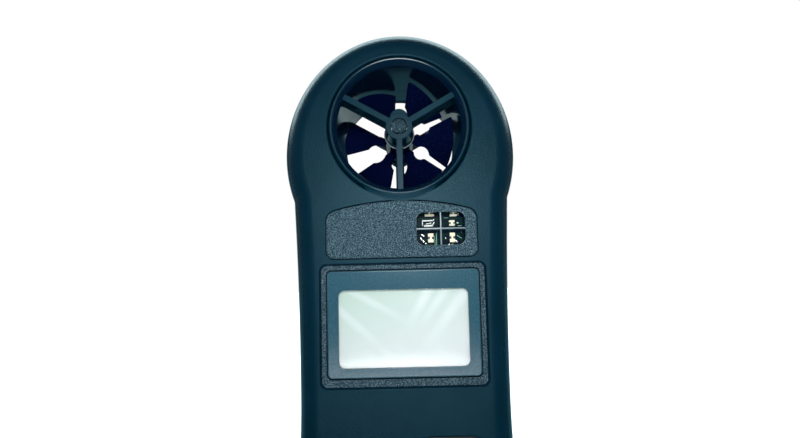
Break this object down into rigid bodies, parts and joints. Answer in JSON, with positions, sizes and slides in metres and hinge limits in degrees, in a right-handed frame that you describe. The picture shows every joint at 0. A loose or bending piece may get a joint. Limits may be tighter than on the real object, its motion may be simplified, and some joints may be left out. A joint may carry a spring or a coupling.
{
  "type": "vane anemometer",
  "caption": "Pocket vane anemometer: waisted upright case, open round duct with a bladed rotor behind a three-arm guard, sensor window, display and keypad.",
  "frame": {"origin": "centre of the base end, on the ground plane, under the middle of the bounding box", "axes": "+Z along the instrument's length towards the vane head, front face towards -Y, +X to the right of someone facing the display"},
  "size_m": [0.06, 0.033, 0.156],
  "materials": {
    "shell": "fine satin grain, dark blue-grey",
    "panel": "coarse sparkling grain, blue-grey",
    "lens": "glossy, dark blue with a clear window",
    "display": "smooth pale silver-green",
    "blades": "smooth, very dark blue",
    "black_plastic": "plain moulded",
    "rubber": "matt silicone",
    "board": "green solder mask",
    "steel": "bright",
    "brass": "plain",
    "ceramic": "matt cream",
    "white_plastic": "plain moulded",
    "battery_jacket": "plain unprinted metal jacket"
  },
  "bodies": {
    "housing": {"battery": "battery_jacket", "battery_snap": "black_plastic", "battery_terminal_negative": "brass", "battery_terminal_positive": "brass", "case_screw_1": "steel", "case_screw_2": "steel", "case_screw_3": "steel", "case_screw_4": "steel", "front_bearing": "steel", "front_case": "shell", "front_hub_cap": "shell", "front_vane_guard": "shell", "humidity_element": "ceramic", "keypad_mat": "rubber", "lcd_connector": "rubber", "lcd_glass": "display", "lcd_holder": "white_plastic", "lens_plate": "lens", "main_board": "board", "measuring_chip": "black_plastic", "pickup_sensor": "black_plastic", "rear_bearing": "steel", "rear_case": "shell", "rear_hub_cap": "shell", "rear_vane_guard": "shell", "sensor_board": "board", "sensor_chip": "black_plastic", "sensor_panel": "panel", "sensor_resistor": "ceramic", "thermistor": "black_plastic", "thermocouple_contact_negative": "brass", "thermocouple_contact_positive": "brass", "thermocouple_socket": "black_plastic"},
    "vane": {"rotor": "blades", "rotor_shaft": "steel"},
    "key_power_cap": {"key_power": "rubber"},
    "key_hold_cap": {"key_hold": "rubber"},
    "key_record_cap": {"key_record": "rubber"},
    "key_unit_cap": {"key_unit": "rubber"},
    "cover": {"battery_cover": "shell"}
  },
  "joints": [
    {"name": "rotor_spin", "type": "hinge", "parent": "housing", "child": "vane", "pos_m": [0, 0, 0.1301], "axis": [0, 1, 0], "continuous": true},
    {"name": "key_power_press", "type": "slide", "parent": "housing", "child": "key_power_cap", "axis": [0, 1, 0], "range_m": [0, 0.0005], "stiffness_N_per_m": 1000},
    {"name": "key_hold_press", "type": "slide", "parent": "housing", "child": "key_hold_cap", "axis": [0, 1, 0], "range_m": [0, 0.0005], "stiffness_N_per_m": 1000},
    {"name": "key_record_press", "type": "slide", "parent": "housing", "child": "key_record_cap", "axis": [0, 1, 0], "range_m": [0, 0.0005], "stiffness_N_per_m": 1000},
    {"name": "key_unit_press", "type": "slide", "parent": "housing", "child": "key_unit_cap", "axis": [0, 1, 0], "range_m": [0, 0.0005], "stiffness_N_per_m": 1000},
    {"name": "battery_cover_lift", "type": "slide", "parent": "housing", "child": "cover", "axis": [0, 1, 0], "range_m": [0, 0.012]}
  ]
}
